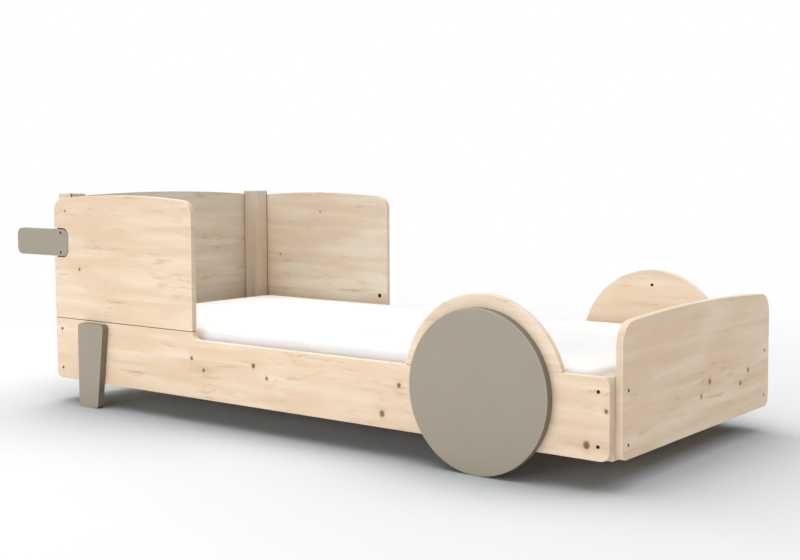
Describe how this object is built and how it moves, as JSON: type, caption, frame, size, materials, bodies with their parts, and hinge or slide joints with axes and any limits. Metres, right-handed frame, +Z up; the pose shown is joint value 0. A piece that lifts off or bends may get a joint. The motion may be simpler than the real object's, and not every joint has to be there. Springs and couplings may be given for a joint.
{
  "type": "floor bed",
  "caption": "Low pine child's bed shaped like a barrow: solid side rails, arched head panels, grey disc wheels, tapered legs and handles, with a white mattress.",
  "frame": {"origin": "on the floor, at the middle of the whole bed's length (handles included) and width", "axes": "+X from the head to the foot, +Y from the near side to the far side, +Z up"},
  "size_m": [2.3474, 0.9986, 0.7],
  "materials": {
    "pine": "clear matt lacquer on knotty pine",
    "grey_lacquer": "satin taupe grey lacquer on fibreboard",
    "fastener_steel": "dark plated steel",
    "mattress_cover": "white knitted cotton cover over foam"
  },
  "bodies": {
    "frame": {"foot_post_far": "pine", "foot_post_near": "pine", "footboard": "pine", "footboard_screw_far_high": "fastener_steel", "footboard_screw_far_low": "fastener_steel", "footboard_screw_near_high": "fastener_steel", "footboard_screw_near_low": "fastener_steel", "handle_far": "grey_lacquer", "handle_near": "grey_lacquer", "handle_screw_far_high": "fastener_steel", "handle_screw_far_low": "fastener_steel", "handle_screw_near_high": "fastener_steel", "handle_screw_near_low": "fastener_steel", "head_post_far": "pine", "head_post_near": "pine", "headboard": "pine", "headboard_screw_far_high": "fastener_steel", "headboard_screw_far_low": "fastener_steel", "headboard_screw_near_high": "fastener_steel", "headboard_screw_near_low": "fastener_steel", "leg_far": "grey_lacquer", "leg_near": "grey_lacquer", "leg_screw_far": "fastener_steel", "leg_screw_near": "fastener_steel", "mudguard_far": "pine", "mudguard_near": "pine", "mudguard_screw_far": "fastener_steel", "mudguard_screw_near": "fastener_steel", "panel_lock_far": "fastener_steel", "panel_lock_near": "fastener_steel", "rail_screw_far_foot_high": "fastener_steel", "rail_screw_far_foot_low": "fastener_steel", "rail_screw_far_head_high": "fastener_steel", "rail_screw_far_head_low": "fastener_steel", "rail_screw_near_foot_high": "fastener_steel", "rail_screw_near_foot_low": "fastener_steel", "rail_screw_near_head_high": "fastener_steel", "rail_screw_near_head_low": "fastener_steel", "side_panel_far": "pine", "side_panel_near": "pine", "side_rail_far": "pine", "side_rail_near": "pine", "slat_01": "pine", "slat_02": "pine", "slat_03": "pine", "slat_04": "pine", "slat_05": "pine", "slat_06": "pine", "slat_07": "pine", "slat_08": "pine", "slat_09": "pine", "slat_10": "pine", "slat_11": "pine", "slat_batten_far": "pine", "slat_batten_near": "pine", "wheel_far": "grey_lacquer", "wheel_near": "grey_lacquer", "wheel_screw_far": "fastener_steel", "wheel_screw_near": "fastener_steel"},
    "mattress": {"mattress": "mattress_cover"}
  },
  "joints": [
    {"name": "mattress_lift", "type": "slide", "parent": "frame", "child": "mattress", "axis": [0, 0, 1], "range_m": [0, 0.3]}
  ]
}
